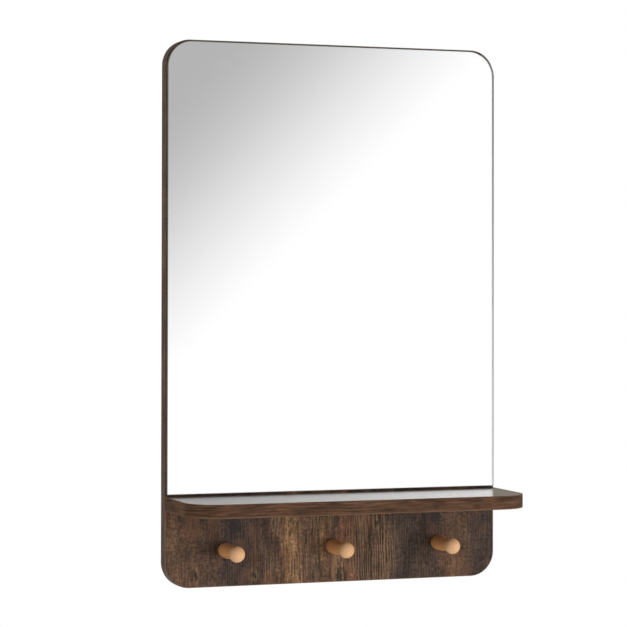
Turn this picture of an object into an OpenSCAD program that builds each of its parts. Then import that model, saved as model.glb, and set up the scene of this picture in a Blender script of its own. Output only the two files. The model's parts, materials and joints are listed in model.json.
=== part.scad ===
// Wall mirror on a wood-decor back panel, with a narrow shelf and three turned pegs.
// +X is the viewer's right, +Y goes into the wall, +Z is up.
// The origin is the centre of the panel's wall face, and depths count from it into the room.

/* [Back panel] */
// Width of the panel with its edge band
panel_w = 390; // [360:5:600]
// Height of the panel with its edge band
panel_h = 600; // [480:5:900]
// Thickness of the panel's chipboard core
panel_core_t = 14.4; // [12.4:0.2:21.4]
// Radius of the panel's corners
panel_corner_r = 28; // [10:1:40]

/* [Facings and edge bands] */
// Thickness of the decor facing on each side of the panel and the shelf
facing_t = 0.3; // [0.2:0.1:0.8]
// Thickness of the edge bands
band_t = 0.8; // [0.4:0.1:2]

/* [Mirror] */
// Thickness of the glass
glass_t = 4; // [2:0.5:6]
// Thickness of the silvering with its paint
silvering_t = 0.2; // [0.1:0.05:0.3]
// Thickness of the safety film behind the silvering
film_t = 0.2; // [0.1:0.1:0.5]
// Step from the panel's edge to the glass
mirror_inset = 1.5; // [0.5:0.5:8]
// Radius that the mirror's top corners have beyond an even step from the panel's corners
mirror_corner_extra = 2.5; // [0:0.5:6]
// Gap between the shelf and the glass above it
mirror_gap = 2; // [1:0.5:10]

/* [Mirror tape] */
// Thickness of the foam tape that holds the mirror
tape_t = 0.5; // [0.4:0.1:2]
// Width of each tape strip
tape_w = 25; // [12:1:40]
// Number of tape strips
tape_count = 5; // [3:1:7]
// Distance from the glass's outline to the tape strips
tape_margin = 30; // [20:1:60]

/* [Shelf] */
// Distance that the shelf stands out from the panel's front
shelf_depth = 109; // [80:1:160]
// Thickness of the shelf's chipboard core
shelf_core_t = 14.4; // [12.4:0.2:21.4]
// Radius of the shelf's two front corners
shelf_corner_r = 36; // [10:1:60]
// Height of the shelf's top above the panel's bottom edge
shelf_height = 100.5; // [80:0.5:160]

/* [Shelf screws] */
// Diameter of the long screws
screw_d = 4; // [3:0.5:5]
// Diameter of the long screws' countersunk heads
screw_head_d = 8; // [7:0.5:10]
// Reach of the shelf screws into the shelf
shelf_screw_grip = 35; // [20:1:50]
// Distance from the panel's side to the outer shelf screws
shelf_screw_inset = 55; // [20:0.5:80]
// Clearance around a screw in the panel
screw_clearance = 0.25; // [0.1:0.05:0.5]
// Clearance around a thread or a dowel
thread_clearance = 0.05; // [0.02:0.01:0.1]
// Depth of the screw heads below the wall face
head_sink = 0.2; // [0.1:0.1:1]

/* [Shelf dowels] */
// Diameter of the dowels
dowel_d = 8; // [6:1:10]
// Reach of the dowels into the panel
dowel_in_panel = 10; // [6:1:11]
// Reach of the dowels into the shelf
dowel_in_shelf = 20; // [12:1:40]
// Distance between the two dowels
dowel_spacing = 150; // [60:5:200]
// Chamfer at the dowels' ends
dowel_chamfer = 1; // [0.5:0.5:2]
// Room left for glue past the dowels' ends in the shelf
glue_gap = 1; // [0.5:0.5:3]

/* [Pegs] */
// Distance between neighbouring pegs
peg_pitch = 126; // [60:1:160]
// Height of the pegs' axes above the panel's bottom edge
peg_height = 40; // [20:0.5:60]
// Distance that the pegs stand out from the panel's front
peg_length = 52; // [40:1:80]
// Diameter of a peg at its base
peg_base_d = 16.5; // [12:0.5:24]
// Length of the straight part of a peg at its base
peg_base_l = 7; // [3:1:12]
// Diameter of a peg at its waist, behind the head
peg_waist_d = 13.5; // [10:0.5:16]
// Diameter of a peg's round head
peg_head_d = 17.5; // [17:0.5:28]
// Reach of the peg screws into the pegs
peg_screw_grip = 20; // [12:1:26]

/* [Hanger plates] */
// Width of a hanger plate
plate_w = 16; // [14:0.5:24]
// Height of a hanger plate
plate_l = 46; // [40:1:60]
// Thickness of a hanger plate
plate_t = 1.5; // [1:0.25:2.5]
// Clearance between a hanger plate and its recess
plate_clearance = 0.2; // [0.1:0.1:0.5]
// Distance from the panel's side to the middle of a hanger plate
hanger_inset = 45; // [30:0.5:80]
// Distance from the panel's top to the middle of a hanger plate
hanger_drop = 60; // [45:1:150]
// Diameter of the keyhole's entry for a wall screw's head
keyhole_entry_d = 10; // [8:0.5:11]
// Width of the keyhole's slot for a wall screw's shank
keyhole_slot_w = 5; // [4:0.25:6]
// Distance from the keyhole's entry to the end of its slot
keyhole_travel = 9; // [7:0.5:11]
// Depth of the space for a wall screw's head, from the wall face
keyhole_depth = 8; // [6:0.5:10]
// Room around a wall screw's head in that space
keyhole_room = 1; // [0.5:0.5:1.5]

/* [Hanger screws] */
// Diameter of the short screws that hold a hanger plate
plate_screw_d = 3; // [2.5:0.5:3.5]
// Diameter of the short screws' heads
plate_screw_head_d = 5.6; // [5:0.2:7]
// Length of the short screws
plate_screw_l = 12; // [8:1:12]
// Distance between the two screws of a hanger plate
plate_screw_spacing = 34; // [32:0.5:36]

/* [Screw heads] */
// Height of the straight rim of a countersunk head
head_rim = 0.2; // [0.1:0.1:0.5]
// Width of the cross recess's arms, as a share of the head's diameter
cross_arm = 0.14; // [0.1:0.01:0.2]
// Length of the cross recess, as a share of the head's diameter
cross_length = 0.55; // [0.4:0.05:0.7]
// Depth of the cross recess, as a share of the head's diameter
cross_depth = 0.22; // [0.15:0.01:0.3]

/* [Hidden] */
$fn = 96;

// How far a cut runs past the face that it opens
over = 1;

panel_t = panel_core_t + 2 * facing_t;
panel_side = panel_w / 2;
panel_top = panel_h / 2;
panel_bottom = -panel_h / 2;

shelf_t = shelf_core_t + 2 * facing_t;
shelf_top = panel_bottom + shelf_height;
shelf_middle = shelf_top - shelf_t / 2;

// Depths of the layers from the wall face into the room
front_facing_depth = facing_t + panel_core_t;
tape_depth = panel_t;
film_depth = tape_depth + tape_t;
silvering_depth = film_depth + film_t;
glass_depth = silvering_depth + silvering_t;

mirror_side = panel_side - mirror_inset;
mirror_top = panel_top - mirror_inset;
mirror_bottom = shelf_top + mirror_gap;
mirror_corner_r = panel_corner_r - mirror_inset + mirror_corner_extra;

shelf_screw_x = [-panel_side + shelf_screw_inset, 0, panel_side - shelf_screw_inset];
shelf_screw_l = panel_t - head_sink + shelf_screw_grip;
dowel_x = [-dowel_spacing / 2, dowel_spacing / 2];

peg_x = [-peg_pitch, 0, peg_pitch];
peg_z = panel_bottom + peg_height;
peg_screw_l = panel_t - head_sink + peg_screw_grip;
peg_head_centre = peg_length - peg_head_d / 2;
// Where the waist runs into the round head
peg_neck = peg_head_centre - sqrt(pow(peg_head_d, 2) - pow(peg_waist_d, 2)) / 2;
peg_taper_steps = 16;

hanger_x = [-panel_side + hanger_inset, panel_side - hanger_inset];
hanger_z = panel_top - hanger_drop;
plate_depth = head_sink;
plate_screw_z = [-plate_screw_spacing / 2, plate_screw_spacing / 2];
keyhole_entry_z = -keyhole_travel / 2;
keyhole_end_z = keyhole_travel / 2;

// ---------- outlines ----------

// Rectangle between two corners, with its own radius at the top and at the bottom corners
module rounded_outline(side, bottom, top, r_bottom, r_top) {
    translate([-side, bottom + r_bottom]) square([2 * side, top - bottom - r_bottom - r_top]);
    if (r_top > 0) rounded_end(side, top - r_top, r_top);
    if (r_bottom > 0) translate([0, bottom + r_bottom]) mirror([0, 1]) rounded_end(side, 0, r_bottom);
}

// Strip above a height, with both its upper corners rounded
module rounded_end(side, height, r) {
    translate([-side + r, height]) square([2 * (side - r), r]);
    for (x = [-side + r, side - r]) translate([x, height]) intersection() {
        circle(r);
        translate([-r, 0]) square([2 * r, r]);
    }
}

module panel_outline(inset = 0) {
    r = panel_corner_r - inset;
    rounded_outline(panel_side - inset, panel_bottom + inset, panel_top - inset, r, r);
}

module mirror_outline() {
    rounded_outline(mirror_side, mirror_bottom, mirror_top, 0, mirror_corner_r);
}

// Shelf seen from above: straight at the panel's front, round at both outer corners
module shelf_outline(inset = 0, rear_over = 0) {
    mirror([0, 1])
        rounded_outline(panel_side - inset, panel_t - rear_over, panel_t + shelf_depth - inset,
                        0, shelf_corner_r - inset);
}

// Round-ended slot of a given width around two centres, one above the other
module slot_outline(width, low, high) {
    for (z = [low, high]) translate([0, z]) circle(d = width);
    translate([-width / 2, low]) square([width, high - low]);
}

// ---------- placing ----------

// Sheet parallel to the wall, from a depth to a depth plus its thickness
module wall_sheet(depth, thickness) {
    translate([0, -depth, 0]) rotate([90, 0, 0]) linear_extrude(thickness) children();
}

// Something built along +Z, turned to point from the wall face into the room
module from_wall(x, z, depth = 0) {
    translate([x, -depth, z]) rotate([90, 0, 0]) children();
}

// Sheet parallel to the shelf, from a height upwards
module shelf_sheet(height, thickness) {
    translate([0, 0, height]) linear_extrude(thickness) children();
}

// ---------- screws and the holes for them ----------

// Countersunk screw, its head's flat top at zero and its tip at its length
module countersunk_screw(d, head_d, length) {
    cone = (head_d - d) / 2;
    difference() {
        rotate_extrude() polygon([
            [0, 0], [head_d / 2, 0], [head_d / 2, head_rim], [d / 2, head_rim + cone],
            [d / 2, length - d], [0, length]
        ]);
        cross_recess(head_d);
    }
}

module cross_recess(head_d) {
    arm = cross_arm * head_d;
    reach = cross_length * head_d;
    depth = cross_depth * head_d;
    for (turn = [0, 90]) rotate([0, 0, turn])
        translate([-reach / 2, -arm / 2, -over]) cube([reach, arm, over + depth]);
}

// Hole for a countersunk screw: its head's seat and a hole of a given width and depth
module screw_hole(head_d, hole_d, depth) {
    rotate_extrude() polygon([
        [0, -head_sink - over], [head_d / 2, -head_sink - over], [head_d / 2, head_rim],
        [hole_d / 2, head_rim + (head_d - hole_d) / 2], [hole_d / 2, depth], [0, depth]
    ]);
}

module shelf_screw_holes() {
    for (x = shelf_screw_x) from_wall(x, shelf_middle, head_sink)
        screw_hole(screw_head_d, screw_d + 2 * screw_clearance, panel_t + over);
}

module peg_screw_holes() {
    for (x = peg_x) from_wall(x, peg_z, head_sink)
        screw_hole(screw_head_d, screw_d + 2 * screw_clearance, panel_t + over);
}

// Holes in the panel that open on its front, for the dowels
module panel_dowel_holes() {
    for (x = dowel_x) from_wall(x, shelf_middle, panel_t - dowel_in_panel)
        cylinder(d = dowel_d + 2 * thread_clearance, h = dowel_in_panel + over);
}

// Recess of the hanger plates, the space behind their keyholes and their screws' holes
module hanger_pockets() {
    for (x = hanger_x) {
        from_wall(x, hanger_z, -over) linear_extrude(over + plate_depth + plate_t)
            hanger_plate_outline(plate_clearance);
        from_wall(x, hanger_z, -over) linear_extrude(over + keyhole_depth)
            slot_outline(keyhole_entry_d + 2 * keyhole_room, keyhole_entry_z, keyhole_end_z);
        for (z = plate_screw_z) from_wall(x, hanger_z + z, plate_depth)
            screw_hole(plate_screw_head_d, plate_screw_d + 2 * thread_clearance, plate_screw_l);
    }
}

module hanger_plate_outline(clearance = 0) {
    reach = (plate_l - plate_w) / 2;
    slot_outline(plate_w + 2 * clearance, -reach, reach);
}

// ---------- the back panel ----------

module panel_core() {
    color("#a98a63") difference() {
        wall_sheet(facing_t, panel_core_t) panel_outline(band_t);
        shelf_screw_holes();
        peg_screw_holes();
        panel_dowel_holes();
        hanger_pockets();
    }
}

module panel_front_facing() {
    color("#4f3e32") difference() {
        wall_sheet(front_facing_depth, facing_t) panel_outline(band_t);
        shelf_screw_holes();
        peg_screw_holes();
        panel_dowel_holes();
    }
}

module panel_rear_facing() {
    color("#54453a") difference() {
        wall_sheet(0, facing_t) panel_outline(band_t);
        shelf_screw_holes();
        peg_screw_holes();
        hanger_pockets();
    }
}

module panel_edge_band() {
    color("#44362c") wall_sheet(0, panel_t) difference() {
        panel_outline();
        panel_outline(band_t);
    }
}

// ---------- the mirror ----------

module mirror_glass() {
    color("#dfe6e6", 0.5) wall_sheet(glass_depth, glass_t) mirror_outline();
}

module mirror_silvering() {
    color("#c9cdcf") wall_sheet(silvering_depth, silvering_t) mirror_outline();
}

module mirror_safety_film() {
    color("#8f979b") wall_sheet(film_depth, film_t) mirror_outline();
}

module mirror_tape_strips() {
    low = mirror_bottom + tape_margin;
    high = mirror_top - tape_margin;
    first = -mirror_side + tape_margin;
    step = (2 * (mirror_side - tape_margin) - tape_w) / (tape_count - 1);
    color("#f1efe8") for (i = [0:tape_count - 1])
        wall_sheet(tape_depth, tape_t)
            translate([first + i * step, low]) square([tape_w, high - low]);
}

// ---------- the shelf ----------

module shelf_core() {
    color("#a98a63") difference() {
        shelf_sheet(shelf_top - facing_t - shelf_core_t, shelf_core_t) shelf_outline(band_t);
        for (x = shelf_screw_x) from_wall(x, shelf_middle, panel_t - over)
            cylinder(d = screw_d + 2 * thread_clearance, h = over + shelf_screw_grip + thread_clearance);
        for (x = dowel_x) from_wall(x, shelf_middle, panel_t - over)
            cylinder(d = dowel_d + 2 * thread_clearance, h = over + dowel_in_shelf + glue_gap);
    }
}

module shelf_top_facing() {
    color("#57453a") shelf_sheet(shelf_top - facing_t, facing_t) shelf_outline(band_t);
}

module shelf_bottom_facing() {
    color("#4f3e32") shelf_sheet(shelf_top - shelf_t, facing_t) shelf_outline(band_t);
}

module shelf_edge_band() {
    color("#5c4032") shelf_sheet(shelf_top - shelf_t, shelf_t) difference() {
        shelf_outline();
        shelf_outline(band_t, over);
    }
}

module shelf_dowels() {
    length = dowel_in_panel + dowel_in_shelf;
    r = dowel_d / 2;
    color("#d9b88a") for (x = dowel_x) from_wall(x, shelf_middle, panel_t - dowel_in_panel)
        rotate_extrude() polygon([
            [0, 0], [r - dowel_chamfer, 0], [r, dowel_chamfer],
            [r, length - dowel_chamfer], [r - dowel_chamfer, length], [0, length]
        ]);
}

module shelf_screws() {
    color("#c8b878") for (x = shelf_screw_x) from_wall(x, shelf_middle, head_sink)
        countersunk_screw(screw_d, screw_head_d, shelf_screw_l);
}

// ---------- the pegs ----------

// Radius of the stem between its base and its waist, along an S-shaped curve
function stem_r(t) = (peg_base_d - (peg_base_d - peg_waist_d) * (1 - cos(180 * t)) / 2) / 2;

// Turned peg along +Z: straight base, drawn-in waist and round head, bored for its screw
module peg_form() {
    taper = peg_neck - peg_base_l;
    difference() {
        union() {
            rotate_extrude() polygon(concat(
                [[0, 0], [peg_base_d / 2, 0]],
                [for (i = [0:peg_taper_steps])
                    [stem_r(i / peg_taper_steps), peg_base_l + taper * i / peg_taper_steps]],
                [[peg_waist_d / 2, peg_head_centre], [0, peg_head_centre]]
            ));
            translate([0, 0, peg_head_centre]) sphere(d = peg_head_d);
        }
        translate([0, 0, -over])
            cylinder(d = screw_d + 2 * thread_clearance, h = over + peg_screw_grip + thread_clearance);
    }
}

module peg(x) {
    color("#c98f56") from_wall(x, peg_z, panel_t) peg_form();
}

module peg_left() {
    peg(peg_x[0]);
}

module peg_middle() {
    peg(peg_x[1]);
}

module peg_right() {
    peg(peg_x[2]);
}

module peg_screws() {
    color("#c8b878") for (x = peg_x) from_wall(x, peg_z, head_sink)
        countersunk_screw(screw_d, screw_head_d, peg_screw_l);
}

// ---------- the hangers ----------

// Round-ended plate with a keyhole, its slot above its entry, and two countersunk holes
module hanger_plate(x) {
    color("#a9adb0") difference() {
        from_wall(x, hanger_z, plate_depth) linear_extrude(plate_t) difference() {
            hanger_plate_outline();
            translate([0, keyhole_entry_z]) circle(d = keyhole_entry_d);
            slot_outline(keyhole_slot_w, keyhole_entry_z, keyhole_end_z);
        }
        for (z = plate_screw_z) from_wall(x, hanger_z + z, plate_depth)
            screw_hole(plate_screw_head_d, plate_screw_d + 2 * thread_clearance, plate_screw_l);
    }
}

module hanger_plate_left() {
    hanger_plate(hanger_x[0]);
}

module hanger_plate_right() {
    hanger_plate(hanger_x[1]);
}

module hanger_screws() {
    color("#c8b878") for (x = hanger_x, z = plate_screw_z) from_wall(x, hanger_z + z, plate_depth)
        countersunk_screw(plate_screw_d, plate_screw_head_d, plate_screw_l);
}

panel_core();
panel_front_facing();
panel_rear_facing();
panel_edge_band();
mirror_glass();
mirror_silvering();
mirror_safety_film();
mirror_tape_strips();
shelf_core();
shelf_top_facing();
shelf_bottom_facing();
shelf_edge_band();
shelf_dowels();
shelf_screws();
peg_left();
peg_middle();
peg_right();
peg_screws();
hanger_plate_left();
hanger_plate_right();
hanger_screws();
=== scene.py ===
"""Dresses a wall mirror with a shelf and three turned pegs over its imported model.

Lengths are in metres. +X is the viewer's right, +Y goes into the wall and +Z is up.
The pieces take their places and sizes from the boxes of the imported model's nodes.
"""

import json
import logging
import math
from collections.abc import Iterable, Sequence
from dataclasses import dataclass
from enum import Enum
from functools import cache

import bpy
import numpy as np
from mathutils import Matrix, Vector

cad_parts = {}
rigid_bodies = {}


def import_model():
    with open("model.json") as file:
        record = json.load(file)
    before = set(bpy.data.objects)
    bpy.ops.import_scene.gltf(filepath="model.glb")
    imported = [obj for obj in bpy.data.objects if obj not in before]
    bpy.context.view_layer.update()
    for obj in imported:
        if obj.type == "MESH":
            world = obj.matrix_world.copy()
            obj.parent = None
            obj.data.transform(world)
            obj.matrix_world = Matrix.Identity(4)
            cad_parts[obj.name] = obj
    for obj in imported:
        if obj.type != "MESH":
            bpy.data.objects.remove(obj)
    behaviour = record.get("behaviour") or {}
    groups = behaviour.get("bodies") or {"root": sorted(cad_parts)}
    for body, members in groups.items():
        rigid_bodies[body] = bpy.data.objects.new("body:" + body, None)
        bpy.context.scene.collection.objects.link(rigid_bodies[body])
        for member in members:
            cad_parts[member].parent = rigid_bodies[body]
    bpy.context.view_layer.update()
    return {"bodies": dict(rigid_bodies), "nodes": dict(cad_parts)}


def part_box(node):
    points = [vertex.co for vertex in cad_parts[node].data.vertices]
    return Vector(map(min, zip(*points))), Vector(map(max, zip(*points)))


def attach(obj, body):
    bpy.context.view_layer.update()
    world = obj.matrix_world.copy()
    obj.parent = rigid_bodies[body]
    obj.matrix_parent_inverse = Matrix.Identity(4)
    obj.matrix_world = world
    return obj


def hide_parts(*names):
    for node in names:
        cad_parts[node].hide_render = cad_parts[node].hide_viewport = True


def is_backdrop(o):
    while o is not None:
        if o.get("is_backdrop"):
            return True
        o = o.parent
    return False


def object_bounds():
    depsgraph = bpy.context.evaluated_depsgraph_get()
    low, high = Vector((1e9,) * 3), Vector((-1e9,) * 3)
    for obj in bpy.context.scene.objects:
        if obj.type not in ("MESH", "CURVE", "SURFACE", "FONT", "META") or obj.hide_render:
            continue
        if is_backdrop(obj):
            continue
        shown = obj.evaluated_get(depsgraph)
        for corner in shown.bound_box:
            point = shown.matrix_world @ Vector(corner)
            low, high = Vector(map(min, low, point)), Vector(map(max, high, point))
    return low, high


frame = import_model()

LOG = logging.getLogger("wall_mirror")
MM = 0.001
BODY = next(iter(frame["bodies"]))
WHITE = (1.0, 1.0, 1.0, 1.0)

Node = bpy.types.Node
NodeTree = bpy.types.NodeTree
Socket = bpy.types.NodeSocket
Material = bpy.types.Material
Piece = bpy.types.Object
Inputs = dict[str | int, object]
Array = np.ndarray
Colour = tuple[float, ...]


# ---------- colours ----------


def linear(red: int, green: int, blue: int) -> Colour:
    """Turns a display colour into the linear colour that shaders use.

    Args:
        red: Red from 0 to 255.
        green: Green from 0 to 255.
        blue: Blue from 0 to 255.

    Returns:
        The linear colour with an alpha of 1.
    """
    share = np.array([red, green, blue]) / 255
    value = np.where(share <= 0.04045, share / 12.92, ((share + 0.055) / 1.055) ** 2.4)
    return (*(float(v) for v in value), 1.0)


class Tone(Enum):
    """Tones of the printed wood decor and of its edge bands."""

    SOOT = linear(40, 31, 27)
    INK = linear(46, 41, 42)
    SLATE = linear(58, 47, 43)
    PEAT = linear(66, 51, 43)
    MOSS = linear(74, 63, 51)
    SMOKE = linear(80, 60, 49)
    UMBER = linear(92, 68, 52)
    RUSSET = linear(106, 72, 53)
    CLAY = linear(118, 88, 62)
    SAND = linear(158, 126, 92)
    TRIM = linear(134, 108, 86)


# ---------- node graphs ----------


class Graph:
    """Adds nodes to a tree and joins them as it goes."""

    def __init__(self, tree: NodeTree) -> None:
        """Keeps the tree that the nodes go into."""
        self.tree = tree

    def feed(self, node: Node, inputs: Inputs) -> None:
        """Gives a node's inputs their values.

        Args:
            node: The node.
            inputs: What each input gets, a constant or another node's output.
        """
        for name, value in inputs.items():
            if isinstance(value, Socket):
                self.tree.links.new(value, node.inputs[name])
            else:
                node.inputs[name].default_value = value

    def add(self, kind: str, inputs: Inputs | None = None, **settings: object) -> Node:
        """Adds one node.

        Args:
            kind: The node's type, without its leading "ShaderNode".
            inputs: What each input gets, a constant or another node's output.
            settings: The node's own properties.

        Returns:
            The new node.
        """
        node = self.tree.nodes.new("ShaderNode" + kind)
        for name, value in settings.items():
            setattr(node, name, value)
        self.feed(node, inputs or {})
        return node

    def math(self, operation: str, a: object, b: object = 0.0, clamp: bool = False) -> Socket:
        """Joins two values with an arithmetic operation, and returns the result."""
        node = self.add("Math", {0: a, 1: b}, operation=operation, use_clamp=clamp)
        return node.outputs[0]

    def times(self, a: object, b: object, clamp: bool = False) -> Socket:
        """Multiplies two values, and returns the product."""
        return self.math("MULTIPLY", a, b, clamp)

    def plus(self, a: object, b: object) -> Socket:
        """Adds two values, and returns the sum."""
        return self.math("ADD", a, b)

    def minus(self, a: object, b: object, clamp: bool = False) -> Socket:
        """Takes the second value from the first, and returns the rest."""
        return self.math("SUBTRACT", a, b, clamp)

    def span(
        self, value: Socket, low: float, high: float, to_low: float = 0.0, to_high: float = 1.0
    ) -> Socket:
        """Carries a value from one range to another along a smooth step.

        Args:
            value: The value to carry over.
            low: Where the first range starts.
            high: Where the first range ends.
            to_low: The result at and below its start.
            to_high: The result at and past its end.

        Returns:
            The carried value.
        """
        node = self.add(
            "MapRange",
            {"Value": value, 1: low, 2: high, 3: to_low, 4: to_high},
            interpolation_type="SMOOTHSTEP",
        )
        return node.outputs[0]

    def noise(
        self, vector: Socket, scale: object, detail: float = 2.0, roughness: float = 0.5
    ) -> Socket:
        """Adds a noise texture and returns its value.

        Args:
            vector: Where the noise is read.
            scale: Its frequency.
            detail: How many finer layers it has.
            roughness: How strong the finer layers are.

        Returns:
            The noise, mostly from 0.2 to 0.8.
        """
        inputs = {"Vector": vector, "Scale": scale, "Detail": detail, "Roughness": roughness}
        return self.add("TexNoise", inputs).outputs[0]

    def ramp(self, value: Socket, stops: Iterable[tuple[float, Sequence[float]]]) -> Socket:
        """Turns a value into a colour.

        Args:
            value: The value, from 0 to 1.
            stops: Positions and the colours there, in rising order.

        Returns:
            The colour.
        """
        node = self.add("ValToRGB", {0: value})
        elements = node.color_ramp.elements
        elements.remove(elements[1])
        for number, (place, colour) in enumerate(stops):
            element = elements[0] if number == 0 else elements.new(place)
            element.position = place
            element.color = colour
        return node.outputs[0]

    def mix(self, share: object, a: object, b: object, blend: str = "MIX") -> Socket:
        """Mixes two colours.

        Args:
            share: How much of the second colour there is.
            a: The first colour.
            b: The second colour.
            blend: How they are mixed.

        Returns:
            The mixed colour.
        """
        node = self.add("Mix", {0: share, 6: a, 7: b}, data_type="RGBA", blend_type=blend)
        return node.outputs[2]

    def blend(self, share: object, a: object, b: object) -> Socket:
        """Mixes two values, and returns the result."""
        return self.add("Mix", {0: share, 2: a, 3: b}, data_type="FLOAT").outputs[0]

    def combine(self, x: object, y: object, z: object = 0.0) -> Socket:
        """Puts three values together as a vector, and returns it."""
        return self.add("CombineXYZ", {0: x, 1: y, 2: z}).outputs[0]

    def bump(self, height: Socket, strength: float, distance: float) -> Socket:
        """Turns a height into a bent normal, and returns it."""
        node = self.add("Bump", {"Height": height, "Strength": strength, "Distance": distance})
        return node.outputs[0]

    def object_place(self) -> Sequence[Socket]:
        """Returns the X, Y and Z of the point on the object, in metres."""
        coordinates = self.add("TexCoord").outputs["Object"]
        return self.add("SeparateXYZ", {0: coordinates}).outputs

    def band_place(self) -> Sequence[Socket]:
        """Returns the way along a band and the way across it, in metres."""
        coordinates = self.add("UVMap", uv_map=SweptBand.UV_NAME).outputs[0]
        return self.add("SeparateXYZ", {0: coordinates}).outputs


def start_group(
    name: str, inputs: dict[str, float], outputs: Sequence[str]
) -> tuple[Graph, Sequence[Socket], Node]:
    """Makes an empty node group with its sockets.

    Args:
        name: The group's name.
        inputs: Its inputs, all values, and what they start at.
        outputs: Its outputs, all values.

    Returns:
        Its graph, what comes in by its inputs, and the node with its outputs.
    """
    tree = bpy.data.node_groups.new(name, "ShaderNodeTree")
    kind = "NodeSocketFloat"
    for socket, value in inputs.items():
        made = tree.interface.new_socket(socket, in_out="INPUT", socket_type=kind)
        made.default_value = value
    for socket in outputs:
        tree.interface.new_socket(socket, in_out="OUTPUT", socket_type=kind)
    given, out = (tree.nodes.new(end) for end in ("NodeGroupInput", "NodeGroupOutput"))
    return Graph(tree), given.outputs, out


@cache
def fibre_group() -> NodeTree:
    """Builds weathered wood seen along its fibres, as a group that is made once.

    Each layer is noise that is stretched along the fibres by its own amount. The lines are
    the crests of a sine wave across the fibres whose phase drifts with a noise, and only
    some places have them. The pores are short dashes, the blotches and the grit are hardly
    stretched, and the saw marks run across the fibres.

    Returns:
        The group.
    """
    graph, given, out = start_group(
        "wood_fibres",
        {"Across": 0.0, "Along": 0.0, "Seed": 0.0, "Fineness": 1.0},
        ("Streak", "Fibre", "Line", "Pore", "Blotch", "Hue", "Saw", "Grit", "Height"),
    )
    across, along, seed, fineness = (given[i] for i in range(4))
    wander = graph.noise(graph.combine(across, along, seed), 12.0)
    drift = graph.times(graph.minus(wander, 0.5), 9 * MM)
    bent = graph.times(graph.plus(across, drift), fineness)

    def layer(sideways: float, lengthways: float, detail: float, rough: float = 0.5) -> Socket:
        """Returns noise with these frequencies across and along the fibres."""
        place = graph.combine(graph.times(bent, sideways), graph.times(along, lengthways), seed)
        return graph.noise(place, 1.0, detail, rough)

    streak = layer(95.0, 11.0, 2.0)
    fibre = layer(440.0, 34.0, 3.0, 0.66)
    where = graph.span(layer(48.0, 17.0, 2.0), 0.42, 0.56)
    phase = graph.plus(graph.times(bent, 2000.0), graph.times(layer(110.0, 13.0, 2.0), 16.0))
    line = graph.times(graph.span(graph.math("SINE", phase), 0.0, 0.95), where)
    pore = graph.span(layer(760.0, 80.0, 1.0), 0.6, 0.7)
    blotch = layer(62.0, 48.0, 3.0, 0.6)
    hue = layer(42.0, 24.0, 2.0)
    grit = layer(440.0, 360.0, 2.0, 0.6)
    saw = graph.times(graph.span(layer(28.0, 430.0, 1.0), 0.5, 0.66), graph.span(hue, 0.56, 0.42))
    height = graph.minus(graph.times(fibre, 0.6), graph.times(pore, 0.5))
    values = (streak, fibre, line, pore, blotch, hue, saw, grit, height)
    graph.feed(out, dict(enumerate(values)))
    return graph.tree


@cache
def unevenness_group() -> NodeTree:
    """Builds a finish's slow and fine unevenness, as a group that is made once.

    Both are noise, and the fine one is 38 times as fine as the slow one.

    Returns:
        The group.
    """
    graph, given, out = start_group(
        "surface_variation", {"X": 0.0, "Y": 0.0, "Z": 0.0, "Scale": 40.0}, ("Slow", "Fine")
    )
    x, y, z, scale = (given[i] for i in range(4))
    place = graph.combine(x, y, z)
    slow = graph.noise(place, scale, 3.0)
    graph.feed(out, {0: slow, 1: graph.noise(place, graph.times(scale, 38.0))})
    return graph.tree


# ---------- finishes ----------


class Finish:
    """A finish that knows what a Principled shader's inputs get.

    Attributes:
        name: The material's name.
    """

    name: str

    @cache
    def make(self) -> Material:
        """Builds the finish's material the first time that it is asked for.

        Returns:
            The material.
        """
        material = bpy.data.materials.new(self.name)
        material.use_nodes = True
        graph = Graph(material.node_tree)
        shader = next(n for n in material.node_tree.nodes if n.type == "BSDF_PRINCIPLED")
        graph.feed(shader, self.inputs(graph))
        return material

    def inputs(self, graph: Graph) -> Inputs:
        """Works out what the shader's inputs get, and returns it. Each finish has its own."""
        raise NotImplementedError


class Grain(Enum):
    """Which way a board's printed fibres run, as the axes across and along them."""

    UPRIGHT = (0, 2)
    ALONG_SHELF = (1, 0)


@dataclass(frozen=True)
class Board:
    """One of the broad tones that lie side by side in the printed decor.

    Attributes:
        place: Its place across the fibres.
        tone: Its tone.
        life: How strongly its fibres and pale lines show, from 0 to 2.
    """

    place: float
    tone: Tone
    life: float = 1.0


@dataclass(frozen=True)
class Knot:
    """A dark knot or stain in the printed decor.

    Attributes:
        across: Its place across the fibres.
        along: Its place along the fibres.
        radius: Half its width.
        stretch: How much longer than wide it is.
        tone: Its tone.
        halo: How pale the fibres round it are.
    """

    across: float
    along: float
    radius: float
    stretch: float = 2.0
    tone: Tone = Tone.SOOT
    halo: float = 0.4


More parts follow.
